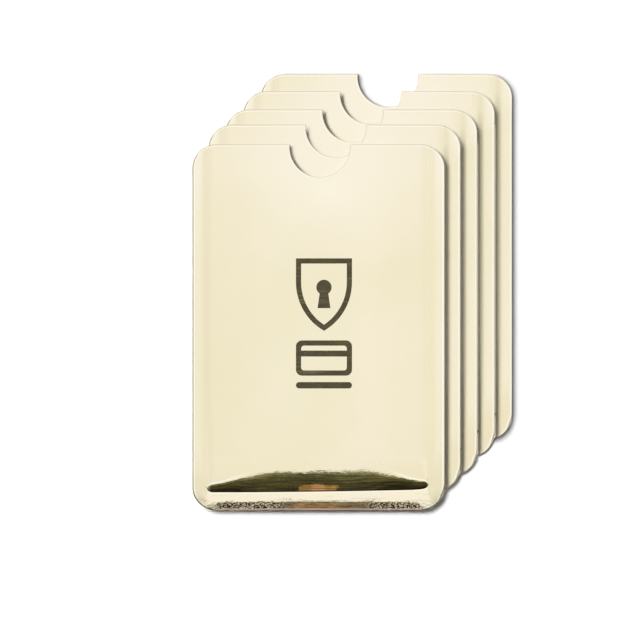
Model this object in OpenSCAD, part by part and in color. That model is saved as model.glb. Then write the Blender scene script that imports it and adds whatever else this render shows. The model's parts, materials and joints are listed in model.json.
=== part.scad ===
// Set of slim foil card sleeves, laid flat one on another in a stepped row.
// Each sleeve is two three-layer panels, heat-sealed round three edges, with the mouth towards +Y.
// All sizes are in millimetres. Z = 0 is the surface that the set lies on.

/* [Sleeve outline] */
// Width of a sleeve over both side seals
sleeve_w = 63; // [60:0.5:80]
// Length of a sleeve from its closed end to its mouth
sleeve_l = 91.5; // [80:0.5:120]
// Radius of the four corners
corner_r = 6; // [3:0.1:9]

/* [Thumb notch] */
// Radius of the notch that is cut through both panels at the mouth
notch_r = 7.6; // [5:0.1:12]
// How far the notch's centre lies inside the mouth edge
notch_inset = 0.65; // [0:0.05:3]
// How far the notch lies to the right of the sleeve's middle
notch_shift = 0.4; // [-3:0.1:3]

/* [Seals] */
// Width of each flat seal along a side
side_seal_w = 3; // [2:0.1:5]
// Width of the flat seal across the closed end
end_seal_w = 4.75; // [3:0.05:8]

/* [Pocket] */
// How far the front panel stands off its seals over the pocket
front_rise = 0.55; // [0.3:0.05:0.9]
// How far the back panel stands off its seals over the pocket
back_rise = 0.35; // [0.2:0.05:0.9]
// Width of the slope between a side seal and the flat of the pocket
side_slope_w = 1.3; // [1:0.1:3]
// Length of the slope between the end seal and the flat of the pocket
end_slope_w = 5.5; // [2:0.1:12]

/* [Laminate] */
// Thickness of the outer gold film
film_t = 0.05; // [0.03:0.01:0.2]
// Thickness of the aluminium foil that stops radio waves
foil_t = 0.03; // [0.01:0.01:0.1]
// Thickness of the paper liner that faces the card
liner_t = 0.12; // [0.05:0.01:0.3]
// Thickness of the heat-seal adhesive between the two panels
seal_t = 0.04; // [0.02:0.01:0.2]

/* [Printed emblem] */
// Width of the emblem, of its card outline and of its bar
emblem_w = 14; // [8:0.5:24]
// Height of the shield
shield_h = 18.1; // [15:0.1:26]
// Height of the card outline
card_h = 8.8; // [6:0.1:14]
// Height of the bar under the card outline
bar_h = 1.6; // [0.8:0.1:3]
// Space between the shield and the card outline
shield_gap = 2.4; // [1:0.1:5]
// Space between the card outline and the bar
bar_gap = 1.6; // [1:0.1:5]
// Width of the printed lines
line_w = 1.3; // [0.6:0.1:2]
// Radius of the round part of the keyhole
keyhole_r = 1.9; // [1:0.1:2.5]
// Height of the keyhole's skirt, from the centre of its round part
keyhole_h = 5.2; // [3:0.1:6.5]
// How far the emblem lies to the right of the sleeve's middle
emblem_x = 1.4; // [-6:0.1:6]
// How far the emblem lies above the sleeve's middle
emblem_y = 1; // [-10:0.5:10]
// Thickness of the printed ink
ink_t = 0.02; // [0.01:0.01:0.05]

/* [Row] */
// How far each sleeve lies to the left of the one beneath it, from the lowest sleeve up
step_left = [4.41, 4.41, 4.21, 4.01]; // [0:0.01:20]
// How far each sleeve lies below the one beneath it, from the lowest sleeve up
step_down = [4.31, 4.59, 3.84, 4.96]; // [0:0.01:20]
// Clearance between a sleeve's printed face and the sleeve that lies on it
rest_gap = 0.03; // [0.01:0.01:0.5]

/* [Hidden] */
$fn = 64;
PIECES = ["front_film", "front_foil", "front_liner", "back_liner", "back_foil", "back_film",
    "left_seal", "right_seal", "end_seal", "emblem"];
sleeve_count = len(step_left) + 1;
gold = [0.95, 0.92, 0.81];
foil_grey = [0.8, 0.81, 0.83];
paper_white = [0.96, 0.96, 0.94];
seal_cream = [0.93, 0.91, 0.84];
ink_brown = [0.27, 0.22, 0.13];
// Depth that a cutting solid runs past what it cuts
cut_past = 1;
// Number of straight facets down a slope
slope_steps = 6;
// A panel's layers, measured outwards from the inner face of its seals
liner_top = liner_t;
foil_top = liner_top + foil_t;
panel_t = foil_top + film_t;
// Height of the inner faces of the back and the front panel along the seals
back_seal_z = back_rise + panel_t;
front_seal_z = back_seal_z + seal_t;
// Height of the front face over the pocket, and the height from one sleeve to the next
front_z = front_seal_z + front_rise + panel_t;
level_h = front_z + ink_t + rest_gap;
// Distance from the sleeve's middle to the inner edge of the side seals and to the pocket's flat
side_crease_x = sleeve_w / 2 - side_seal_w;
flat_x = side_crease_x - side_slope_w;
end_crease_y = -sleeve_l / 2 + end_seal_w;
flat_y = end_crease_y + end_slope_w;
emblem_h = shield_h + shield_gap + card_h + bar_gap + bar_h;
card_corner_r = 1.5;
stripe_h = 1.5;

function node_name(n, piece) = str("sleeve_", n, "_", piece);
function sum_to(list, count) = count == 0 ? 0 : list[count - 1] + sum_to(list, count - 1);
// Place of sleeve n along one axis, with the row's bounding box centred on the origin
function place(steps, n) = sum_to(steps, len(steps)) / 2 - sum_to(steps, n - 1);
// Points down a slope: an arc that leaves the pocket's flat smoothly at X = 0 and height rise,
// and meets the seal in a crease at X = width and height 0
function slope_points(rise, width) =
    let (r = (width * width + rise * rise) / (2 * rise), end_angle = 2 * atan(rise / width))
    [for (i = [0:slope_steps])
        let (a = end_angle * i / slope_steps)
        [r * sin(a), rise - r * (1 - cos(a))]];

module at_sleeve(n) {
    translate([place(step_left, n), place(step_down, n), (n - 1) * level_h])
        children();
}

// Flat blank of one panel: round corners, and the notch at the mouth
module blank_2d() {
    difference() {
        union() {
            square([sleeve_w - 2 * corner_r, sleeve_l], center = true);
            square([sleeve_w, sleeve_l - 2 * corner_r], center = true);
            for (x = [-1, 1], y = [-1, 1])
                translate([x * (sleeve_w / 2 - corner_r), y * (sleeve_l / 2 - corner_r)])
                    circle(corner_r);
        }
        translate([notch_shift, sleeve_l / 2 - notch_inset])
            circle(notch_r);
    }
}

// Cross-section of the space under a pressed panel, from side to side and down to base
module under_across_2d(rise, base) {
    edge = sleeve_w / 2 + cut_past;
    right = [for (p = slope_points(rise, side_slope_w)) [flat_x + p.x, p.y]];
    left = [for (i = [len(right) - 1:-1:0]) [-right[i].x, right[i].y]];
    polygon(concat(right, [[edge, 0], [edge, base], [-edge, base], [-edge, 0]], left));
}

// Section of the space under a pressed panel, along the sleeve, with the mouth at +X
module under_along_2d(rise, base) {
    edge = sleeve_l / 2 + cut_past;
    slope = [for (p = slope_points(rise, end_slope_w)) [flat_y - p.x, p.y]];
    polygon(concat(slope, [[-edge, 0], [-edge, base], [edge, base], [edge, rise]]));
}

// Space under a pressed panel whose seals lie at height z
module under_panel(rise, z, base) {
    translate([0, 0, z])
        intersection() {
            translate([0, sleeve_l / 2 + cut_past, 0])
                rotate([90, 0, 0])
                    linear_extrude(sleeve_l + 2 * cut_past)
                        under_across_2d(rise, base);
            translate([-sleeve_w / 2 - cut_past, 0, 0])
                rotate([90, 0, 90])
                    linear_extrude(sleeve_w + 2 * cut_past)
                        under_along_2d(rise, base);
        }
}

// One layer of a pressed panel, between two heights above the inner face of its seals.
// A panel that faces down is turned about Y, which leaves its section as it was.
module panel_layer(rise, low, high, face_down = false) {
    reach = rise + panel_t + cut_past;
    intersection() {
        translate([0, 0, -reach])
            linear_extrude(2 * reach)
                blank_2d();
        rotate([0, face_down ? 180 : 0, 0])
            difference() {
                under_panel(rise, high, -cut_past);
                under_panel(rise, low, -2 * cut_past);
            }
    }
}

module front_layer(low, high) {
    translate([0, 0, front_seal_z])
        panel_layer(front_rise, low, high);
}

module back_layer(low, high) {
    translate([0, 0, back_seal_z])
        panel_layer(back_rise, low, high, face_down = true);
}

// Adhesive between the two panels, inside a rectangle given by two corners
module seal_strip(from, to) {
    translate([0, 0, back_seal_z])
        linear_extrude(seal_t)
            intersection() {
                blank_2d();
                translate(from)
                    square(to - from);
            }
}

module front_film() {
    color(gold) front_layer(foil_top, panel_t);
}

module front_foil() {
    color(foil_grey) front_layer(liner_top, foil_top);
}

module front_liner() {
    color(paper_white) front_layer(0, liner_top);
}

module back_liner() {
    color(paper_white) back_layer(0, liner_top);
}

module back_foil() {
    color(foil_grey) back_layer(liner_top, foil_top);
}

module back_film() {
    color(gold) back_layer(foil_top, panel_t);
}

module left_seal() {
    color(seal_cream)
        seal_strip([-sleeve_w / 2, end_crease_y], [-side_crease_x, sleeve_l / 2]);
}

module right_seal() {
    color(seal_cream)
        seal_strip([side_crease_x, end_crease_y], [sleeve_w / 2, sleeve_l / 2]);
}

module end_seal() {
    color(seal_cream)
        seal_strip([-sleeve_w / 2, -sleeve_l / 2], [sleeve_w / 2, end_crease_y]);
}

// Shield with a flat top and two arcs that meet in a point, its top edge at Y = 0
module shield_2d(inset) {
    arc_y = sqrt(3) / 2 * emblem_w - shield_h;
    translate([-emblem_w / 2 + inset, arc_y])
        square([emblem_w - 2 * inset, -arc_y - inset]);
    intersection() {
        translate([-emblem_w / 2 + inset, -shield_h])
            square([emblem_w - 2 * inset, shield_h + arc_y]);
        translate([-emblem_w / 2, arc_y])
            circle(emblem_w - inset, $fn = 120);
        translate([emblem_w / 2, arc_y])
            circle(emblem_w - inset, $fn = 120);
    }
}

module keyhole_2d() {
    circle(keyhole_r);
    polygon([[-keyhole_r * 0.45, 0], [keyhole_r * 0.45, 0],
        [keyhole_r * 0.85, -keyhole_h], [-keyhole_r * 0.85, -keyhole_h]]);
}

// Rectangle with round corners, its top edge at Y = 0
module round_box_2d(w, h, r) {
    translate([-w / 2 + r, -h])
        square([w - 2 * r, h]);
    translate([-w / 2, -h + r])
        square([w, h - 2 * r]);
    for (x = [-1, 1], y = [r, h - r])
        translate([x * (w / 2 - r), -y])
            circle(r);
}

// Bar with round ends, its top edge at Y = 0
module bar_2d(w, h) {
    translate([-w / 2 + h / 2, -h])
        square([w - h, h]);
    for (x = [-1, 1])
        translate([x * (w - h) / 2, -h / 2])
            circle(h / 2);
}

module emblem() {
    color(ink_brown)
        translate([emblem_x, emblem_y + emblem_h / 2, front_z])
            linear_extrude(ink_t) {
                difference() {
                    shield_2d(0);
                    shield_2d(line_w);
                }
                translate([0, -shield_h * 0.4])
                    keyhole_2d();
                translate([0, -shield_h - shield_gap]) {
                    difference() {
                        round_box_2d(emblem_w, card_h, card_corner_r);
                        translate([0, -line_w])
                            round_box_2d(emblem_w - 2 * line_w, card_h - 2 * line_w,
                                card_corner_r / 2);
                    }
                    translate([-emblem_w / 2 + line_w / 2, -card_h / 2 + stripe_h / 4])
                        square([emblem_w - line_w, stripe_h]);
                    translate([0, -card_h - bar_gap])
                        bar_2d(emblem_w, bar_h);
                }
            }
}

for (n = [1:sleeve_count]) {
    at_sleeve(n) front_film();
    at_sleeve(n) front_foil();
    at_sleeve(n) front_liner();
    at_sleeve(n) back_liner();
    at_sleeve(n) back_foil();
    at_sleeve(n) back_film();
    at_sleeve(n) left_seal();
    at_sleeve(n) right_seal();
    at_sleeve(n) end_seal();
    at_sleeve(n) emblem();
}
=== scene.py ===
# Set of slim foil card sleeves, laid flat one on another in a stepped row.
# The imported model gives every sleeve's place. What is made here is the pressed laminate in fine detail.
import json
import math

import bmesh
import bpy
from mathutils import Matrix, Vector

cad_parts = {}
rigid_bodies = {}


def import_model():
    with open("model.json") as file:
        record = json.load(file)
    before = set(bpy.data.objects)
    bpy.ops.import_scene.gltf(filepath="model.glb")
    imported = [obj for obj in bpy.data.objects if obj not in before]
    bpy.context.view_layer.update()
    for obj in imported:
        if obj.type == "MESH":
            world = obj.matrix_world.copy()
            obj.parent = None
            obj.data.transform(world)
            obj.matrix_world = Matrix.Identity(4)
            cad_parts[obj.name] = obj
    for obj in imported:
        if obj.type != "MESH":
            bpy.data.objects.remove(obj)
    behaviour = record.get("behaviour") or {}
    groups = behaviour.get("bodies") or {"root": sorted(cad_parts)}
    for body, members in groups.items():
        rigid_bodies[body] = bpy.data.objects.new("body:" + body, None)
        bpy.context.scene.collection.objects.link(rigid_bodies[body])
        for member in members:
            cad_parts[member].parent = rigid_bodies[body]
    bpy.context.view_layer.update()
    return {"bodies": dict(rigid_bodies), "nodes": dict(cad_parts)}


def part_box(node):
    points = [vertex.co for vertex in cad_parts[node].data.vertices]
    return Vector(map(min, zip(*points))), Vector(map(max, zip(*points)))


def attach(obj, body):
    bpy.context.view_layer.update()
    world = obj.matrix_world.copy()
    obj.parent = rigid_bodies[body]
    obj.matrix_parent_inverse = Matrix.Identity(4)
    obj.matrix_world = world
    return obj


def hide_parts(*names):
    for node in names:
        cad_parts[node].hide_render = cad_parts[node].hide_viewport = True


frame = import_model()

# Camera and studio.
# The set lies on a white table under a long lens that looks straight down.
# One soft lamp stands low at the upper left, and white cards all round are what the foil mirrors.
mm = 0.001
scene = bpy.context.scene
scene.view_settings.view_transform = "Standard"

picture_centre = (-8.11 * mm, -7.0 * mm)
picture_width = 160.4 * mm
film_gate = 36.0
lens = 450.0
lens_data = bpy.data.cameras.new("long_lens")
lens_data.lens = lens
lens_data.sensor_width = film_gate
camera = bpy.data.objects.new("camera", lens_data)
camera.location = (*picture_centre, picture_width * lens / film_gate)
lens_data.clip_start, lens_data.clip_end = 0.1, 100.0
scene.collection.objects.link(camera)
scene.camera = camera


def new_material(name):
    """A material with an empty node tree."""
    material = bpy.data.materials.new(name)
    material.use_nodes = True
    material.node_tree.nodes.clear()
    return material


def add(tree, kind, inputs=None, **settings):
    """A node of that kind. An input is given a value, or a socket that is linked to it."""
    node = tree.nodes.new(kind)
    for key, value in settings.items():
        setattr(node, key, value)
    for key, value in (inputs or {}).items():
        socket = node.inputs[key]
        if isinstance(value, bpy.types.NodeSocket):
            tree.links.new(value, socket)
        else:
            socket.default_value = value
    return node


def ramp(tree, factor, stops, interpolation="LINEAR"):
    """A colour ramp over factor, with stops of (position, grey level or colour)."""
    node = add(tree, "ShaderNodeValToRGB", {"Fac": factor})
    band = node.color_ramp
    band.interpolation = interpolation
    for i, (position, tone) in enumerate([stops[0], stops[-1]] + stops[1:-1]):
        if i < 2:
            element = band.elements[i]
            element.position = position
        else:
            element = band.elements.new(position)
        element.color = (*tone, 1) if isinstance(tone, tuple) else (tone, tone, tone, 1)
    return node.outputs["Color"]


def math_node(tree, operation, first, second=0.0, clamp=False):
    """What a Math node makes of two values, each a socket or a number."""
    return add(tree, "ShaderNodeMath", {0: first, 1: second}, operation=operation,
               use_clamp=clamp).outputs[0]


def blend_tone(tree, factor, first, second):
    """A mix of two colours, each a socket or a colour."""
    first, second = [(*c, 1) if isinstance(c, tuple) else c for c in (first, second)]
    return add(tree, "ShaderNodeMix", {"Factor": factor, 6: first, 7: second},
               data_type="RGBA").outputs[2]


def shade_tone(tree, factor, tone, shade):
    """A colour that is darkened by the shade, by as much as the factor says."""
    return add(tree, "ShaderNodeMix", {"Factor": factor, 6: tone, 7: shade}, data_type="RGBA",
               blend_type="MULTIPLY").outputs[2]


world = bpy.data.worlds.new("white_studio")
world.use_nodes = True
scene.world = world
sky = world.node_tree
sky.nodes.clear()
ambient_level = 0.09
look = add(sky, "ShaderNodeTexCoord")
toward = add(sky, "ShaderNodeSeparateXYZ", {0: look.outputs["Generated"]})
# What the foil mirrors: white overhead, greyer towards the walls, and a little brighter at the right
walls = ramp(sky, toward.outputs["Z"], [(0.0, 0.35), (0.25, 0.50), (0.5, 0.88), (0.80, 1.0)])
lean = add(sky, "ShaderNodeMath", {0: toward.outputs["X"], 1: 0.12, 2: 1.0},
           operation="MULTIPLY_ADD").outputs[0]
mirrored = add(sky, "ShaderNodeVectorMath", {0: walls, "Scale": lean}, operation="SCALE").outputs[0]
path = add(sky, "ShaderNodeLightPath")
tone = blend_tone(sky, path.outputs["Is Glossy Ray"], (ambient_level,) * 3, mirrored)
tone = blend_tone(sky, path.outputs["Is Camera Ray"], tone, (1.0, 1.0, 1.0))
light = add(sky, "ShaderNodeBackground", {"Color": tone, "Strength": 1.0})
add(sky, "ShaderNodeOutputWorld", {"Surface": light.outputs[0]})


def soft_sun(name, side, height, level, spread):
    """A far soft lamp at the upper left. Level is what it gives a flat white surface."""
    data = bpy.data.lights.new(name, "SUN")
    data.energy = level * math.pi / math.sin(height)
    data.angle = spread
    lamp = bpy.data.objects.new(name, data)
    toward_lamp = Vector((math.cos(height) * math.cos(side), math.cos(height) * math.sin(side),
                          math.sin(height)))
    lamp.rotation_mode = "QUATERNION"
    lamp.rotation_quaternion = toward_lamp.to_track_quat("Z", "Y")
    lamp.location = toward_lamp
    lamp.visible_glossy = False
    scene.collection.objects.link(lamp)
    return lamp


key = soft_sun("soft_key", side=math.radians(158), height=math.radians(45), level=0.905,
               spread=math.radians(26))
table_key = soft_sun("table_key", side=math.radians(140), height=math.radians(76.8), level=0.97,
                     spread=math.radians(12))


def mesh_object(name, bm, material):
    """Turns a bmesh into a linked object with one material."""
    mesh = bpy.data.meshes.new(name)
    bm.to_mesh(mesh)
    bm.free()
    mesh.materials.append(material)
    piece = bpy.data.objects.new(name, mesh)
    scene.collection.objects.link(piece)
    return piece


table_half, table_gap = 6.0, 0.02 * mm
shade_reach = 2.0 * mm
table_white = new_material("table_white")
tree = table_white.node_tree
# Close under an edge that faces away from the lamps the table is in shade
lamp_side = add(tree, "ShaderNodeCombineXYZ", {"X": -0.66, "Y": 0.58, "Z": 0.47})
open_sky = add(tree, "ShaderNodeAmbientOcclusion", {"Distance": shade_reach,
                                                    "Normal": lamp_side.outputs[0]})
table_tone = ramp(tree, open_sky.outputs["AO"], [(0.56, 0.16), (0.70, 0.23), (0.77, 0.37),
                                                 (0.83, 0.57), (0.89, 0.76), (0.94, 0.89),
                                                 (1.0, 0.95)])
table_paper = add(tree, "ShaderNodeBsdfDiffuse", {"Color": table_tone})
table_lift = add(tree, "ShaderNodeEmission", {"Color": (1, 1, 1, 1), "Strength": 0.03})
table_mix = add(tree, "ShaderNodeAddShader", {0: table_paper.outputs[0], 1: table_lift.outputs[0]})
add(tree, "ShaderNodeOutputMaterial", {"Surface": table_mix.outputs[0]})
bm = bmesh.new()
bmesh.ops.create_grid(bm, x_segments=1, y_segments=1, size=table_half,
                      matrix=Matrix.Translation((0, 0, -table_gap)))
table = mesh_object("table", bm, table_white)
# The steeper lamp is for the table alone, so that the shadow round the set stays narrow
for lamp, link in ((key, "EXCLUDE"), (table_key, "INCLUDE")):
    lit = bpy.data.collections.new(f"{lamp.name}_table")
    lit.objects.link(table)
    lit.collection_objects[0].light_linking.link_state = link
    lamp.light_linking.receiver_collection = lit


def card_material(name, tree_tone):
    """An evenly glowing card. What tree_tone makes in its node tree is its colour."""
    material = new_material(name)
    tree = material.node_tree
    glow = add(tree, "ShaderNodeEmission", {"Color": tree_tone(tree), "Strength": 1.0})
    add(tree, "ShaderNodeOutputMaterial", {"Surface": glow.outputs[0]})
    return material


def only_mirrored(card):
    """The card shows in reflections and casts no light or shadow of its own."""
    card.visible_camera = card.visible_diffuse = card.visible_shadow = False


# Dark olive card that stands beyond the closed ends and shows only as a reflection in the foil
flag_height = 100 * mm
flag_near, flag_far = -56.0 * mm, -185 * mm
flag_middle, flag_half = -8.5 * mm, 175 * mm
flag_fade = 46 * mm


def flag_tone(tree):
    """Olive that darkens away from the sleeves, in uneven streaks."""
    place = add(tree, "ShaderNodeTexCoord")
    depth = add(tree, "ShaderNodeSeparateXYZ", {0: place.outputs["Object"]})
    fade = add(tree, "ShaderNodeMapRange", {"Value": depth.outputs["Y"], "From Min": flag_near,
                                            "From Max": flag_near - flag_fade})
    streak_place = add(tree, "ShaderNodeMapping", {"Vector": place.outputs["Object"],
                                                   "Scale": (60, 330, 1)})
    streaks = add(tree, "ShaderNodeTexNoise", {"Vector": streak_place.outputs[0], "Scale": 1.0,
                                               "Detail": 3.0, "Roughness": 0.6})
    olive = ramp(tree, fade.outputs[0], [(0.0, (0.165, 0.160, 0.075)), (0.20, (0.090, 0.086, 0.042)),
                                         (0.6, (0.050, 0.044, 0.021)), (1.0, (0.030, 0.024, 0.010))])
    shade = ramp(tree, streaks.outputs["Fac"], [(0.38, 0.40), (0.50, 1.00), (0.62, 2.1)])
    return shade_tone(tree, 1.0, olive, shade)


bm = bmesh.new()
bmesh.ops.create_grid(bm, x_segments=1, y_segments=1, size=0.5)
bmesh.ops.scale(bm, vec=(2 * flag_half, flag_near - flag_far, 1), verts=bm.verts)
bmesh.ops.translate(bm, vec=(flag_middle, (flag_near + flag_far) / 2, flag_height), verts=bm.verts)
only_mirrored(mesh_object("dark_flag", bm, card_material("flag_dark", flag_tone)))

# Small tan card with a round top, which shows in the middle of the dark one
tan_height = 40 * mm
tan_middle, tan_half = -8.6 * mm, 5.1 * mm
tan_near, tan_far = -57.1 * mm, -61.9 * mm
top_r, top_inset, top_gap = 2.1 * mm, 1.2 * mm, 0.1 * mm


def tan_tone(tree):
    """Tan that is redder in the middle of the card."""
    place = add(tree, "ShaderNodeTexCoord")
    side = add(tree, "ShaderNodeSeparateXYZ", {0: place.outputs["Object"]})
    side = add(tree, "ShaderNodeMapRange", {"Value": side.outputs["X"],
                                            "From Min": tan_middle - tan_half,
                                            "From Max": tan_middle + tan_half})
    return ramp(tree, side.outputs[0], [(0.0, (0.50, 0.31, 0.11)), (0.30, (0.40, 0.24, 0.10)),
                                        (0.38, (0.56, 0.31, 0.17)), (0.62, (0.56, 0.31, 0.17)),
                                        (0.70, (0.38, 0.22, 0.09)), (1.0, (0.50, 0.31, 0.11))])


bm = bmesh.new()
bmesh.ops.create_grid(bm, x_segments=1, y_segments=1, size=0.5)
bmesh.ops.scale(bm, vec=(2 * tan_half, tan_near - tan_far, 1), verts=bm.verts)
bmesh.ops.translate(bm, vec=(0, (tan_near + tan_far) / 2, 0), verts=bm.verts)
bmesh.ops.create_circle(bm, cap_ends=True, segments=24, radius=top_r,
                        matrix=Matrix.Translation((0, tan_near - top_inset, -top_gap)))
bmesh.ops.translate(bm, vec=(tan_middle, 0, tan_height), verts=bm.verts)
only_mirrored(mesh_object("tan_card", bm, card_material("tan_card", tan_tone)))

# Back film.
# Gold metallized film on the outside of the back panel. The blank is die-cut with round corners
# and a thumb notch, then pressed so that the pocket stands off the heat-sealed bands.

# Size of the blank in millimetres, as are the other lengths on it. Its middle is at 0, 0.
sleeves = sorted(frame["bodies"])
film_low, film_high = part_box(f"{sleeves[0]}_back_film")
sleeve_w = round((film_high.x - film_low.x) / mm, 3)
sleeve_l = round((film_high.y - film_low.y) / mm, 3)
corner_r = 6.0
# Thumb notch: its centre lies a little inside the mouth edge, and a little to the right
notch_r, notch_inset, notch_shift = 7.6, 0.65, 0.4
notch_y = sleeve_l / 2 - notch_inset
# Seals between the panels: height of their middle over the underside, and half their thickness
seal_low, seal_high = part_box(f"{sleeves[0]}_left_seal")
seal_mid = round(((seal_low.z + seal_high.z) / 2 - film_low.z) / mm, 3)
seal_half = round((seal_high.z - seal_low.z) / 2 / mm, 3)
# How far the pocket stands off the seals in each panel
front_rise, back_rise = 0.55, 0.35
# Outer faces of the liner, the foil and the film, over the inner face of the panel
liner_top, foil_top, film_top = 0.12, 0.15, 0.20
# Creases of the pocket: top and foot of the side slopes, and their foot in the lower corners
pocket_x, crease_x = 27.0, 28.9
low_crease = {-1: 27.9, 1: 27.5}
# Crease at the closed end, inside the end seal, and the width and height of its round ends
end_seal_w = 4.75
end_crease = -sleeve_l / 2 + end_seal_w
lobe_w, lobe_h = 1.7, 1.1
# Slope at the closed end, as high as it looks in its mirror picture: sides, crown, dip and shoulder
slope_half = 27.6
side_height, crown_height = 1.8, 4.3
dip_x, dip_half, dip_depth = 0.3, 7.8, 0.9
shoulder_x, shoulder_half, shoulder_height = 14.0, 5.0, 0.25
mirror_pull = 0.0397
# Rows of cells that are drawn along with the slope: under its foot, on it, and up to the panel
foot_rows, slope_rows, panel_rows = 2.3, 6.0, 13.0
# Width and depth of the rolled edge, of the cut's lip, and of the crimped band at the closed end
roll_w, roll_drop = 0.35, 0.035
lip_w, lip_drop = 0.10, 0.045
band_w, band_drop = 2.1, 0.20
# What the film's material is told about each point of a panel
mask_names = ("matte", "press", "seal", "knurl", "brown", "lip", "rim", "cut", "draw", "fold", "covered")


def ease(value, none, full):
    """0 where value is at none, 1 where it is at full, and smooth in between."""
    t = min(max((value - none) / (full - none), 0.0), 1.0)
    return t * t * (3 - 2 * t)


def edge_distance(x, y):
    """How far a point of the blank lies inside its cut outline."""
    ax, ay = abs(x) - sleeve_w / 2 + corner_r, abs(y) - sleeve_l / 2 + corner_r
    outside = math.hypot(max(ax, 0), max(ay, 0)) + min(max(ax, ay), 0)
    notch = math.hypot(x - notch_shift, y - notch_y) - notch_r
    return max(min(corner_r - outside, notch), 0.0)


def low_side(x):
    """How far out the pocket reaches in its lower corner, on that side."""
    return low_crease[1 if x > 0 else -1]


def end_slope(x):
    """Length of the slope at the closed end, from the height that its mirror picture shows."""
    u = min(abs(x) / slope_half, 1.0)
    height = side_height + crown_height * (1 - u * u) ** 1.5
    height += shoulder_height * math.exp(-((x - shoulder_x) / shoulder_half) ** 2)
    height -= dip_depth * math.exp(-((x - dip_x) / dip_half) ** 4)
    return (1 - math.sqrt(1 - 4 * mirror_pull * height)) / (2 * mirror_pull)


def end_reach(x):
    """The foot and the top of the slope at the closed end. Its side ends are round."""
    turn = min(max((abs(x) - low_side(x)) / lobe_w + 1, 0.0), 1.0)
    lift = lobe_h * (1 - math.sqrt(1 - turn * turn))
    length = max(end_slope(x) - 2.0 * lift, 0.3)
    return end_crease + lift, end_crease + lift + length


def down_slope(x, y):
    """How far down the slope at the closed end a point lies: 0 at its top and 1 at its foot."""
    foot, top = end_reach(x)
    return min(max((top - y) / (top - foot), 0.0), 1.0)


def along_slope(x, y):
    """Where a straight row of the blank runs at the closed end: it follows the slope's foot and top."""
    foot, top = end_reach(x)
    step = y - end_crease
    if step < 0:
        moved = y + (foot - end_crease) * max(1 + step / foot_rows, 0.0)
    elif step < slope_rows:
        moved = foot + (top - foot) * step / slope_rows
    elif step < panel_rows:
        moved = top + (end_crease + panel_rows - top) * (step - slope_rows) / (panel_rows - slope_rows)
    else:
        moved = y
    return y + (moved - y) * ease(abs(x), low_crease[-1] + 1.0, low_crease[-1])


def pocket_form(x, y):
    """1 over the flat of the pocket, and 0 on the seals. Its lower corners are low and rounded."""
    side = abs(x)
    sunk = 0.5 * ease(side, 20, 27) * ease(y, -22, -40)
    side_foot = crease_x + (low_side(x) - crease_x) * ease(y, -20, -41)
    side_top = pocket_x - 0.2 - 1.2 * ease(y, -16, -30) * ease(y, -38.8, -36.3)
    return ease(side, side_foot, side_top) * (1 - down_slope(x, y) ** 2) * (1 - sunk)


def end_tilt(x, y):
    """How far the closed end's crease lies off square: it climbs towards the right."""
    climb = 0.0128 * x + 0.00024 * x * x + 0.2 * ease(x, 24, 27)
    return climb * ease(y, -43.4, -42.1) * ease(y, -28, -36)


def in_band(x, y):
    """How far a point lies inside the crimped band, which narrows towards the corners."""
    return -y - sleeve_l / 2 + band_w - 0.9 * ease(abs(x), 22, 26)


def edge_drop(x, y):
    """How far the laminate is crushed down at its cut edges and along the closed end."""
    near = edge_distance(x, y)
    drop = roll_drop * max(1 - near / roll_w, 0.0) ** 2 + lip_drop * max(1 - near / lip_w, 0.0) ** 2
    band = max(in_band(x, y), 0.0) / band_w
    crushed = band_drop * band * band / (band + 0.14) - 0.9 * drop
    return drop + crushed * ease(abs(x), 26.2, 23.6) * (band > 0)


def edge_lines(x, y):
    """The painted shade line along the cut edge and the painted highlight line inside it, each from 0 to
    1, by side.
    """
    near = edge_distance(x, y)
    in_notch = math.hypot(x - notch_shift, y - notch_y) < notch_r + 0.8
    # How far in the dark line starts and ends, how far in the bright line ends, and how dark it is
    if in_notch:
        starts, ends, bright, dark = -0.1, 0.14, 0.50, 0.22 * ease(x, 1, -3) + 0.03
    elif x < -sleeve_w / 2 + 1.2:
        starts, ends, bright, dark = 0.08, 0.34, 0.60, 0.75
    elif x > sleeve_w / 2 - 1.2:
        starts, ends, bright, dark = -0.1, 0.14, 0.50, 0.1
    elif y > 0:
        starts, ends, bright, dark = 0.04, 0.30, 0.52, 0.17
    else:
        starts, ends, bright, dark = -0.1, 0.24, 0.50, 0.42
    shade_line = ease(near, starts, starts + 0.06) * ease(near, ends, ends - 0.09) * dark
    highlight_line = ease(near, ends + 0.02, ends + 0.12) * ease(near, bright + 0.1, bright)
    return shade_line, highlight_line * (1 - in_notch * (0.35 + 0.45 * ease(x, -5, 0)))


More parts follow.
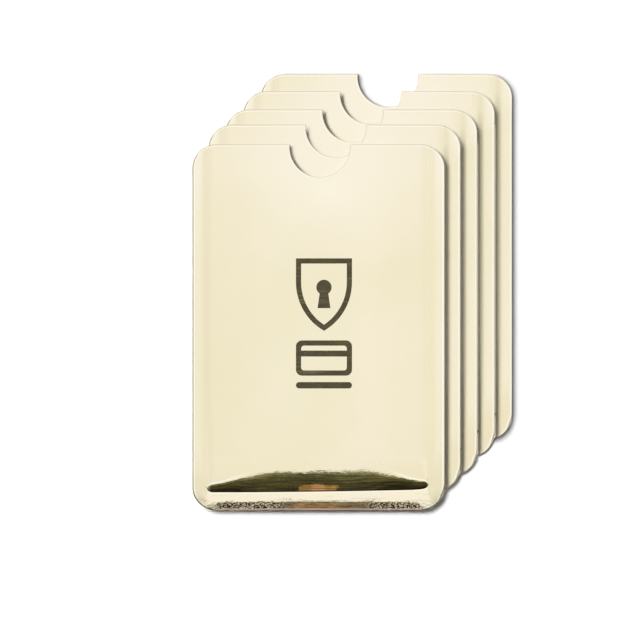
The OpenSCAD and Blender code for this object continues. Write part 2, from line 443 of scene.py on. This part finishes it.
def panel_masks(x, y):
    """The masks at one point of a panel, each from 0 to 1."""
    side, near = abs(x), edge_distance(x, y)
    foot, top = end_reach(x)
    on_slope = y > foot - 0.01
    in_pocket = ease(side, low_side(x) + 0.15, low_side(x))
    crimp = ease(in_band(x, y), -0.05, 0.10) * ease(side, 27, 25)
    by_corner = ease(abs(x - 2), 8, 14)
    # Rubbed dull under the sleeve above: down the right side, and further in near the mouth
    at_mouth = ease(y, 32, 35)
    rubbed_x = pocket_x - 3.0 * at_mouth
    rubbed = ease(x, rubbed_x, rubbed_x + 0.5 + 1.5 * at_mouth) * (1 - 0.85 * ease(y, 35, 42))
    # Painted highlights: bright lines inside the cut edge, under the foot of the end slope and over its
    # top; and the painted shade line along the cut edge
    shade_line, highlight_line = edge_lines(x, y)
    under = ease(foot - y, 0.06, 0.14) * ease(foot - y, 0.44, 0.30) * in_pocket
    over = ease(y - top, -0.10, 0.05) * ease(y - top, 0.44, 0.22) * ease(side, 17, 21) * in_pocket
    return {
        "matte": rubbed,
        "press": ease(y, -31, -34) * (y > end_crease) * ease(side, pocket_x + 0.4, pocket_x),
        "seal": (y < end_crease - 0.01) * ease(side, 29.2, 27.2),
        # Crimped band: its middle takes the painted brown reflection, its corners the painted dark specks
        "knurl": crimp * (0.3 + 0.7 * by_corner),
        "brown": crimp * (1 - by_corner),
        "lip": crimp * ease(near, 0.15, 0.23) * ease(near, 0.52, 0.42),
        "rim": max(highlight_line * (1 - crimp), 0.85 * under, 0.8 * over),
        "cut": shade_line,
        "draw": ease(down_slope(x, y), 0.30, 0.42) * on_slope * in_pocket,
        "fold": on_slope * ease(y - foot, 0.36, 0.16) * in_pocket,
        "covered": 1.0,
    }


def flat_blank():
    """The die-cut blank, flat, in millimetres, cut into cells that follow the creases and edges."""
    bm = bmesh.new()
    bmesh.ops.create_grid(bm, x_segments=1, y_segments=1, size=0.5)
    bmesh.ops.scale(bm, vec=(sleeve_w, sleeve_l, 1), verts=bm.verts)
    bmesh.ops.bevel(bm, geom=bm.verts[:], offset=corner_r, offset_type="OFFSET", segments=14,
                    profile=0.5, affect="VERTICES", material=-1)
    # The notch
    half = math.sqrt(notch_r ** 2 - notch_inset ** 2)
    mouth = max(bm.edges, key=lambda e: (e.verts[0].co.y + e.verts[1].co.y, e.calc_length()))
    right = max(mouth.verts, key=lambda v: v.co.x)
    reach = right.co.x - (notch_shift + half)
    mouth, first = bmesh.utils.edge_split(mouth, right, reach / mouth.calc_length())
    mouth = next(e for e in first.link_edges if right not in e.verts)
    reach = first.co.x - (notch_shift - half)
    mouth, second = bmesh.utils.edge_split(mouth, first, reach / mouth.calc_length())
    steps = 40
    start = math.asin(notch_inset / notch_r)
    arc = []
    for i in range(1, steps):
        a = start - (math.pi + 2 * start) * i / steps
        arc.append(Vector((notch_shift + notch_r * math.cos(a), notch_y + notch_r * math.sin(a), 0)))
    bm.faces.ensure_lookup_table()
    bmesh.utils.face_split(bm.faces[0], first, second, coords=arc)
    chip = min(bm.faces, key=lambda f: f.calc_area())
    bmesh.ops.delete(bm, geom=[chip], context="FACES")
    # Rings along the cut edge
    panel = max(bm.faces, key=lambda f: f.calc_area())
    for step in (0.03, 0.03, 0.04, 0.08, 0.08, 0.09, 0.10, 0.15, 0.12):
        bmesh.ops.inset_region(bm, faces=[panel], thickness=step, use_boundary=True,
                               use_even_offset=True)
    # Columns: close together over the side slopes, which start further in near the closed end
    across = [pocket_x + i * 0.19 for i in range(11)]
    across += [26.5 + 0.1 * i for i in range(15)]
    across += [25.4 + 0.2 * i for i in range(6)]
    columns = sorted([-x for x in across] + across + [i * 1.8 for i in range(-14, 15)])
    # Rows: close together under, on and just over the end slope, and along the crimped band
    rows = [end_crease + step for step in (-0.60, -0.42, -0.28, -0.14, -0.04, 0, 0.04)]
    rows += [end_crease + step for step in (0.08, 0.16, 0.24, 0.32, 0.42, 0.55, 0.70)]
    rows += [end_crease + 0.9 + 0.2 * i for i in range(25)]
    slope_end = end_crease + slope_rows
    rows += [slope_end + step for step in (-0.08, 0, 0.06, 0.12, 0.20, 0.30, 0.45, 0.65, 1.0, 1.6)]
    rows += [-sleeve_l / 2 + i * 0.2 for i in range(1, 13)]
    rows += [-33.5 + 0.5 * i for i in range(8)]
    # Rows over the rest of the panel, closer where it is rubbed near the mouth
    rows += [29, 30.5, 32, 33.5, 35] + [37.5 + i for i in range(8)]
    rows += [-30 + 6.0 * i for i in range(13)]
    for places, way in ((columns, Vector((1, 0, 0))), (rows, Vector((0, 1, 0)))):
        for place in places:
            bmesh.ops.bisect_plane(bm, geom=bm.verts[:] + bm.edges[:] + bm.faces[:], dist=1e-5,
                                   plane_co=place * way, plane_no=way)
    for v in bm.verts:
        v.co.y = along_slope(v.co.x, v.co.y)
    return bm


blank = flat_blank()


def pressed_layer(name, low, high, rise, face_down, material):
    """One layer of a pressed panel, between two heights above the inner face of its seals."""
    bm = blank.copy()
    grown = bmesh.ops.extrude_face_region(bm, geom=bm.faces[:], use_keep_orig=True)["geom"]
    bmesh.ops.translate(bm, vec=(0, 0, 1), verts=[v for v in grown if isinstance(v, bmesh.types.BMVert)])
    side = -1 if face_down else 1
    uv = bm.loops.layers.uv.new("blank")
    masks = {mask: bm.verts.layers.float.new(mask) for mask in mask_names}
    for v in bm.verts:
        x, y = v.co.x, v.co.y
        level = high if v.co.z > 0.5 else low
        height = seal_half + level + rise * pocket_form(x, y)
        height -= edge_drop(x, y) * (level + seal_half) / (film_top + seal_half)
        v.co.z = seal_mid + side * height
        v.co.y += end_tilt(x, y)
        for mask, value in panel_masks(x, y).items():
            v[masks[mask]] = value
    for face in bm.faces:
        for loop in face.loops:
            loop[uv].uv = (loop.vert.co.x / sleeve_w + 0.5, loop.vert.co.y / sleeve_l + 0.5)
    bmesh.ops.recalc_face_normals(bm, faces=bm.faces)
    bmesh.ops.scale(bm, vec=(mm, mm, mm), verts=bm.verts)
    for face in bm.faces:
        face.smooth = True
    mesh = bpy.data.meshes.new(name)
    bm.to_mesh(mesh)
    bm.free()
    mesh.set_sharp_from_angle(angle=math.radians(40))
    mesh.materials.append(material)
    return mesh


def lay_in_row(layer, mesh):
    """A copy of one layer in each sleeve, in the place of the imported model's layer."""
    for body in sleeves:
        node = f"{body}_{layer}"
        low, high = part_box(node)
        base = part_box(f"{body}_back_film")[0].z
        copy = mesh.copy()
        middle = (low + high) / 2
        copy.transform(Matrix.Translation((middle.x, middle.y, base)))
        if body == sleeves[-1]:
            copy.attributes["covered"].data.foreach_set("value", [0.0] * len(copy.vertices))
        piece = bpy.data.objects.new(f"{body}_{layer}_pressed", copy)
        scene.collection.objects.link(piece)
        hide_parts(node)
        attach(piece, body)


def marks_group():
    """Handling marks that every thin layer takes: soft smudges and hair-fine scratches."""
    group = bpy.data.node_groups.new("handling_marks", "ShaderNodeTree")
    face = group.interface
    face.new_socket("Vector", in_out="INPUT", socket_type="NodeSocketVector")
    face.new_socket("Smudge Scale", in_out="INPUT", socket_type="NodeSocketFloat")
    face.new_socket("Scratch Scale", in_out="INPUT", socket_type="NodeSocketFloat")
    face.new_socket("Smudge", in_out="OUTPUT", socket_type="NodeSocketFloat")
    face.new_socket("Scratch", in_out="OUTPUT", socket_type="NodeSocketFloat")
    given = group.nodes.new("NodeGroupInput").outputs
    smudge = add(group, "ShaderNodeTexNoise", {"Vector": given["Vector"], "Scale": given["Smudge Scale"],
                                               "Detail": 3.0, "Roughness": 0.55})
    smudge = ramp(group, smudge.outputs["Fac"], [(0.45, 0.0), (0.70, 1.0)], "EASE")
    scratch = 0.0
    for turn, stretch in ((0.5, 40.0), (-0.9, 55.0)):
        course = add(group, "ShaderNodeMapping", {"Vector": given["Vector"], "Rotation": (0, 0, turn),
                                                  "Scale": (1.0, stretch, 1.0)})
        hair = add(group, "ShaderNodeTexNoise", {"Vector": course.outputs[0],
                                                 "Scale": given["Scratch Scale"], "Detail": 1.0})
        hair = ramp(group, hair.outputs["Fac"], [(0.66, 0.0), (0.72, 1.0)])
        scratch = math_node(group, "MAXIMUM", hair, scratch)
    ends = group.nodes.new("NodeGroupOutput").inputs
    group.links.new(smudge, ends["Smudge"])
    group.links.new(scratch, ends["Scratch"])
    return group


handling_marks = marks_group()


def marks(tree, vector, smudge_scale, scratch_scale):
    """The handling marks in one material, at that material's own scale."""
    node = tree.nodes.new("ShaderNodeGroup")
    node.node_tree = handling_marks
    tree.links.new(vector, node.inputs["Vector"])
    node.inputs["Smudge Scale"].default_value = smudge_scale
    node.inputs["Scratch Scale"].default_value = scratch_scale
    return node.outputs["Smudge"], node.outputs["Scratch"]


# The film's golds and browns, with the colours of its painted highlights, shade and reflection
mouth_highlight_gold, glow_highlight_gold = (0.950, 0.880, 0.720), (0.965, 0.900, 0.730)
blush_gold, side_shade_gold, seal_gold = (0.925, 0.835, 0.670), (0.840, 0.758, 0.505), (0.965, 0.880, 0.690)
crimp_reflection_brown, crimp_reflection_dark, lip_highlight_rose = (0.66, 0.50, 0.32), (0.045, 0.032, 0.015), (0.80, 0.60, 0.50)
rim_highlight_gold, cut_shade, fold_shade = (0.990, 0.950, 0.830), (0.20, 0.18, 0.11), (0.10, 0.07, 0.03)
gold_film = new_material("gold_film")
tree = gold_film.node_tree
where = add(tree, "ShaderNodeTexCoord").outputs["Object"]
matte, press, seal, knurl, brown, lip, rim, cut, draw, fold, covered = (
    add(tree, "ShaderNodeAttribute", attribute_name=mask).outputs["Fac"] for mask in mask_names)
on_blank = add(tree, "ShaderNodeUVMap", uv_map="blank").outputs[0]
# Rubbed in a ring, left of and under the place where the notch of the sleeve above lies
above_notch = (-3.65, 40.05)
ring_near, ring_full, ring_fades, ring_far = 6.45, 7.4, 9.0, 11.0
rub_corner = (-above_notch[0] - sleeve_w / 2, -above_notch[1] - sleeve_l / 2, 0)
rub_place = add(tree, "ShaderNodeMapping", {"Vector": on_blank, "Scale": (sleeve_w, sleeve_l, 1),
                                            "Location": rub_corner}).outputs[0]
rub_reach = add(tree, "ShaderNodeVectorMath", {0: rub_place}, operation="LENGTH").outputs["Value"]
rub_xy = add(tree, "ShaderNodeSeparateXYZ", {0: rub_place}).outputs
rub = add(tree, "ShaderNodeMapRange", {"Value": rub_reach, "From Min": ring_near, "From Max": ring_full},
          interpolation_type="SMOOTHSTEP").outputs[0]
for value, none, full in ((rub_xy["X"], -2.1, -5.0), (rub_xy["Y"], 1.1, -0.3),
                          (rub_reach, ring_far, ring_fades)):
    part = add(tree, "ShaderNodeMapRange", {"Value": value, "From Min": none, "From Max": full})
    rub = math_node(tree, "MULTIPLY", rub, part.outputs[0])
matte = math_node(tree, "MULTIPLY", math_node(tree, "MAXIMUM", matte, rub), covered)
glossy = math_node(tree, "SUBTRACT", 1.0, matte)
smudge, scratch = marks(tree, where, 90.0, 60.0)
# Colour of the panel: faint clouds; painted shade, darker and yellower towards the side slopes and lower
# corners; painted highlight, paler at the mouth and in a glow under it
cloud = add(tree, "ShaderNodeTexNoise", {"Vector": where, "Scale": 42.0, "Detail": 3.0,
                                         "Roughness": 0.5})
blush = add(tree, "ShaderNodeTexNoise", {"Vector": where, "Scale": 65.0, "Detail": 1.0})
tone = ramp(tree, cloud.outputs["Fac"], [(0.32, (0.880, 0.808, 0.580)), (0.68, (0.912, 0.842, 0.632))])
tint = ramp(tree, blush.outputs["Fac"], [(0.42, 0.0), (0.62, 0.35)])
tone = blend_tone(tree, tint, tone, blush_gold)
on_blank_xy = add(tree, "ShaderNodeSeparateXYZ", {0: on_blank}).outputs
# Painted shade: the panel is darker and yellower towards its sides and its lower corners
left_shade = [(0.030, 0.0), (0.042, 0.48), (0.050, 0.60), (0.056, 0.36), (0.062, 0.36), (0.070, 0.55),
             (0.088, 0.38), (0.187, 0.26), (0.267, 0.10), (0.36, 0.0)]
right_shade = [(0.70, 0.0), (0.80, 0.14), (0.90, 0.22), (0.925, 0.52), (0.955, 0.58), (0.968, 0.10),
              (0.975, 0.0)]
side_shade = ramp(tree, on_blank_xy["X"], left_shade + right_shade)
corners = ramp(tree, on_blank_xy["X"], [(0.10, 0.65), (0.40, 0.25), (0.60, 0.25), (0.90, 1.0)])
lower = ramp(tree, on_blank_xy["Y"], [(0.080, 0.75), (0.115, 0.65), (0.17, 0.0)])
side_shade = math_node(tree, "MAXIMUM", side_shade, math_node(tree, "MULTIPLY", lower, corners))
# Painted highlight: paler towards the mouth, and in a glow under it, on the glossy parts only
upper = ramp(tree, on_blank_xy["Y"], [(0.68, 0.0), (0.86, 0.42), (0.93, 0.85)])
tone = blend_tone(tree, math_node(tree, "MULTIPLY", upper, glossy), tone, mouth_highlight_gold)
under_mouth = add(tree, "ShaderNodeMapping", {"Vector": on_blank, "Location": (-1.425, -6.10, 0),
                                              "Scale": (2.6, 7.0, 1)})
glow = add(tree, "ShaderNodeTexGradient", {"Vector": under_mouth.outputs[0]},
           gradient_type="QUADRATIC_SPHERE")
tone = blend_tone(tree, math_node(tree, "MULTIPLY", glow.outputs["Fac"], glossy), tone, glow_highlight_gold)
tone = blend_tone(tree, side_shade, tone, side_shade_gold)
tone = blend_tone(tree, math_node(tree, "MULTIPLY", seal, 0.8), tone, seal_gold)
# Crimped band: brown with drawn lines in the middle, and dark crumpled specks by the corners, all painted
# reflection of the dark surroundings
crushed = add(tree, "ShaderNodeMapping", {"Vector": where, "Rotation": (0, 0, 0.3),
                                          "Scale": (2200, 3300, 2200)})
crumple = add(tree, "ShaderNodeTexNoise", {"Vector": crushed.outputs[0], "Scale": 1.0, "Detail": 1.5,
                                           "Distortion": 0.8})
drawn = add(tree, "ShaderNodeMapping", {"Vector": where, "Scale": (380, 3300, 260)})
draw_lines = add(tree, "ShaderNodeTexNoise", {"Vector": drawn.outputs[0], "Scale": 1.0, "Detail": 2.0})
band_reflection_tone = ramp(tree, draw_lines.outputs["Fac"], [(0.38, (0.20, 0.12, 0.05)), (0.52, (0.62, 0.44, 0.235)),
                                               (0.70, (0.80, 0.60, 0.37))])
speck = ramp(tree, crumple.outputs["Fac"], [(0.43, 0.0), (0.53, 0.92)])
tone = blend_tone(tree, brown, tone, band_reflection_tone)
tone = blend_tone(tree, math_node(tree, "MULTIPLY", knurl, 0.7), tone, crimp_reflection_brown)
tone = blend_tone(tree, math_node(tree, "MULTIPLY", speck, knurl), tone, crimp_reflection_dark)
# Painted lines at the edges: a pink highlight on the crimped band's lip, highlights inside the cut edge
# and along the end slope, and shade along the cut edge
tone = blend_tone(tree, lip, tone, lip_highlight_rose)
tone = blend_tone(tree, rim, tone, rim_highlight_gold)
# Painted shade: a dark line along the cut edge
tone = blend_tone(tree, cut, tone, cut_shade)
# Fine lines drawn along the end slope, and painted shade: near-black in the fold at its foot
drawn_out = add(tree, "ShaderNodeMapping", {"Vector": where, "Scale": (110, 2600, 170)})
scuff = add(tree, "ShaderNodeTexNoise", {"Vector": drawn_out.outputs[0], "Scale": 1.0, "Detail": 1.0})
scuff = ramp(tree, scuff.outputs["Fac"], [(0.40, 0.58), (0.50, 0.87), (0.58, 1.0)])
tone = shade_tone(tree, draw, tone, scuff)
tone = blend_tone(tree, math_node(tree, "MULTIPLY", fold, 0.9), tone, fold_shade)
# Mirror metal where it is glossy, nearly none where it is rubbed, and less in the crimp's dust
metal = add(tree, "ShaderNodeMapRange", {"Value": matte, "To Min": 0.85, "To Max": 0.03}).outputs[0]
shine = math_node(tree, "MULTIPLY", math_node(tree, "MAXIMUM", press, seal), glossy)
metal = math_node(tree, "MAXIMUM", metal, shine)
dulled = math_node(tree, "MAXIMUM", math_node(tree, "MULTIPLY", brown, 0.35),
                   math_node(tree, "MULTIPLY", lip, 0.7))
dusty = math_node(tree, "MULTIPLY", knurl, math_node(tree, "SUBTRACT", 1.0, speck))
dulled = math_node(tree, "MAXIMUM", dulled, math_node(tree, "MULTIPLY", dusty, 0.8))
metal = math_node(tree, "SUBTRACT", metal, dulled, clamp=True)
rough = add(tree, "ShaderNodeMapRange", {"Value": matte, "To Min": 0.12, "To Max": 0.32}).outputs[0]
rough = math_node(tree, "SUBTRACT", rough, math_node(tree, "MULTIPLY", shine, 0.07))
rough = math_node(tree, "ADD", rough, math_node(tree, "MULTIPLY", smudge, 0.03))
# Relief: a soft wave in the sheet, press lines on the end slope, and the crimp's fine crumple
wave = add(tree, "ShaderNodeTexNoise", {"Vector": where, "Scale": 350.0, "Detail": 4.0})
stretched = add(tree, "ShaderNodeMapping", {"Vector": where, "Scale": (900, 3000, 260)})
streak = add(tree, "ShaderNodeTexNoise", {"Vector": stretched.outputs[0], "Scale": 1.0, "Detail": 2.0})
hair = add(tree, "ShaderNodeBump", {"Height": scratch, "Strength": 0.5, "Distance": 0.002 * mm})
soft = add(tree, "ShaderNodeBump", {"Height": wave.outputs["Fac"], "Strength": 1.0,
                                    "Distance": 0.03 * mm, "Normal": hair.outputs[0]})
lines = add(tree, "ShaderNodeBump", {"Height": streak.outputs["Fac"], "Strength": press,
                                     "Distance": 0.004 * mm, "Normal": soft.outputs[0]})
hard = add(tree, "ShaderNodeBump", {"Height": crumple.outputs["Fac"], "Strength": knurl,
                                    "Distance": 0.03 * mm, "Normal": lines.outputs[0]})
surface = add(tree, "ShaderNodeBsdfPrincipled", {"Base Color": tone, "Metallic": metal,
                                                 "Roughness": rough, "Coat Weight": 0.3,
                                                 "Coat Roughness": 0.12,
                                                 "Normal": hard.outputs[0]})
add(tree, "ShaderNodeOutputMaterial", {"Surface": surface.outputs[0]})

mesh = pressed_layer("back_film", foil_top, film_top, back_rise, True, gold_film)
lay_in_row("back_film", mesh)

# Back foil.
# Rolled aluminium foil, glued to the inside of the film and pressed with it. It is the layer that
# stops radio waves, and it shows only at the cut edge.
foil_metal = new_material("foil_metal")
tree = foil_metal.node_tree
where = add(tree, "ShaderNodeTexCoord").outputs["Object"]
smudge, scratch = marks(tree, where, 120.0, 80.0)
rolled = add(tree, "ShaderNodeMapping", {"Vector": where, "Scale": (9000, 180, 180)})
rolling = add(tree, "ShaderNodeTexNoise", {"Vector": rolled.outputs[0], "Scale": 1.0, "Detail": 3.0})
tone = ramp(tree, rolling.outputs["Fac"], [(0.35, (0.74, 0.75, 0.77)), (0.65, (0.86, 0.87, 0.88))])
rough = add(tree, "ShaderNodeMapRange", {"Value": rolling.outputs["Fac"], "To Min": 0.22,
                                         "To Max": 0.36}).outputs[0]
rough = math_node(tree, "ADD", rough, math_node(tree, "MULTIPLY", smudge, 0.06))
grooves = math_node(tree, "ADD", rolling.outputs["Fac"], math_node(tree, "MULTIPLY", scratch, 0.5))
relief = add(tree, "ShaderNodeBump", {"Height": grooves, "Strength": 0.6, "Distance": 0.002 * mm})
surface = add(tree, "ShaderNodeBsdfPrincipled", {"Base Color": tone, "Metallic": 1.0,
                                                 "Roughness": rough, "Normal": relief.outputs[0]})
add(tree, "ShaderNodeOutputMaterial", {"Surface": surface.outputs[0]})
mesh = pressed_layer("back_foil", liner_top, foil_top, back_rise, True, foil_metal)
lay_in_row("back_foil", mesh)

# Back liner.
# White paper, glued to the foil. It is the innermost layer of the laminate, faces the card and
# keeps it from sticking.
liner_paper = new_material("liner_paper")
tree = liner_paper.node_tree
where = add(tree, "ShaderNodeTexCoord").outputs["Object"]
smudge = marks(tree, where, 70.0, 90.0)[0]
pulp = add(tree, "ShaderNodeTexNoise", {"Vector": where, "Scale": 900.0, "Detail": 4.0,
                                        "Roughness": 0.65, "Distortion": 1.2})
laid = add(tree, "ShaderNodeMapping", {"Vector": where, "Rotation": (0, 0, 0.7),
                                       "Scale": (1500, 5200, 1500)})
fibre = add(tree, "ShaderNodeTexNoise", {"Vector": laid.outputs[0], "Scale": 1.0, "Detail": 2.0})
tone = ramp(tree, pulp.outputs["Fac"], [(0.35, (0.80, 0.80, 0.77)), (0.62, (0.90, 0.90, 0.88))])
tone = blend_tone(tree, math_node(tree, "MULTIPLY", smudge, 0.25), tone, (0.76, 0.74, 0.69))
mat = math_node(tree, "ADD", pulp.outputs["Fac"], math_node(tree, "MULTIPLY", fibre.outputs["Fac"], 0.6))
rough = add(tree, "ShaderNodeMapRange", {"Value": mat, "To Min": 0.72, "To Max": 0.90}).outputs[0]
relief = add(tree, "ShaderNodeBump", {"Height": mat, "Strength": 0.7, "Distance": 0.02 * mm})
surface = add(tree, "ShaderNodeBsdfPrincipled", {"Base Color": tone, "Roughness": rough,
                                                 "Normal": relief.outputs[0]})
add(tree, "ShaderNodeOutputMaterial", {"Surface": surface.outputs[0]})
mesh = pressed_layer("back_liner", 0.0, liner_top, back_rise, True, liner_paper)
lay_in_row("back_liner", mesh)

# Seals.
# Heat-seal adhesive between the two panels, down both sides and across the closed end. It is melted
# between hot bars and sets as flat strips.
adhesive = new_material("adhesive")
tree = adhesive.node_tree
where = add(tree, "ShaderNodeTexCoord").outputs["Object"]
smudge = marks(tree, where, 140.0, 100.0)[0]
melt = add(tree, "ShaderNodeTexNoise", {"Vector": where, "Scale": 520.0, "Detail": 3.0, "Distortion": 0.8})
tone = ramp(tree, melt.outputs["Fac"], [(0.36, (0.74, 0.69, 0.54)), (0.64, (0.86, 0.83, 0.73))])
rough = add(tree, "ShaderNodeMapRange", {"Value": melt.outputs["Fac"], "To Min": 0.38,
                                         "To Max": 0.60}).outputs[0]
rough = math_node(tree, "SUBTRACT", rough, math_node(tree, "MULTIPLY", smudge, 0.10))
relief = add(tree, "ShaderNodeBump", {"Height": melt.outputs["Fac"], "Strength": 0.6,
                                      "Distance": 0.01 * mm})
surface = add(tree, "ShaderNodeBsdfPrincipled", {"Base Color": tone, "Roughness": rough,
                                                 "Normal": relief.outputs[0]})
add(tree, "ShaderNodeOutputMaterial", {"Surface": surface.outputs[0]})


def finish_nodes(piece, material):
    """Gives the material to that piece of every sleeve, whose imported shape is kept."""
    for body in sleeves:
        slots = frame["nodes"][f"{body}_{piece}"].data.materials
        slots.clear()
        slots.append(material)


for strip in ("left_seal", "right_seal", "end_seal"):
    finish_nodes(strip, adhesive)

# Front liner, foil and film.
# The same three layers in the front panel, which is pressed deeper than the back one. Their mouth
# edge, seals and notch lie over those of the back panel.
mesh = pressed_layer("front_liner", 0.0, liner_top, front_rise, False, liner_paper)
lay_in_row("front_liner", mesh)
mesh = pressed_layer("front_foil", liner_top, foil_top, front_rise, False, foil_metal)
lay_in_row("front_foil", mesh)
mesh = pressed_layer("front_film", foil_top, film_top, front_rise, False, gold_film)
lay_in_row("front_film", mesh)

# Emblem.
# A shield with a keyhole over a card, printed on the front film in one pass of brown ink, which has
# pinholes and hair-fine scratches.
ink = new_material("ink")
tree = ink.node_tree
where = add(tree, "ShaderNodeTexCoord").outputs["Object"]
smudge, scratch = marks(tree, where, 110.0, 70.0)
body_of_ink = add(tree, "ShaderNodeTexNoise", {"Vector": where, "Scale": 480.0, "Detail": 4.0,
                                               "Roughness": 0.6})
pinhole = add(tree, "ShaderNodeTexNoise", {"Vector": where, "Scale": 3000.0, "Detail": 1.0})
tone = ramp(tree, body_of_ink.outputs["Fac"], [(0.35, (0.040, 0.031, 0.010)),
                                               (0.65, (0.068, 0.055, 0.020))])
bare = ramp(tree, pinhole.outputs["Fac"], [(0.70, 0.0), (0.76, 0.55)])
tone = blend_tone(tree, bare, tone, (0.40, 0.34, 0.20))
tone = blend_tone(tree, math_node(tree, "MULTIPLY", scratch, 0.4), tone, (0.30, 0.25, 0.14))
rough = add(tree, "ShaderNodeMapRange", {"Value": body_of_ink.outputs["Fac"], "To Min": 0.32,
                                         "To Max": 0.50}).outputs[0]
rough = math_node(tree, "SUBTRACT", rough, math_node(tree, "MULTIPLY", smudge, 0.08))
relief = add(tree, "ShaderNodeBump", {"Height": body_of_ink.outputs["Fac"], "Strength": 0.5,
                                      "Distance": 0.006 * mm})
surface = add(tree, "ShaderNodeBsdfPrincipled", {"Base Color": tone, "Roughness": rough,
                                                 "Normal": relief.outputs[0]})
add(tree, "ShaderNodeOutputMaterial", {"Surface": surface.outputs[0]})
finish_nodes("emblem", ink)
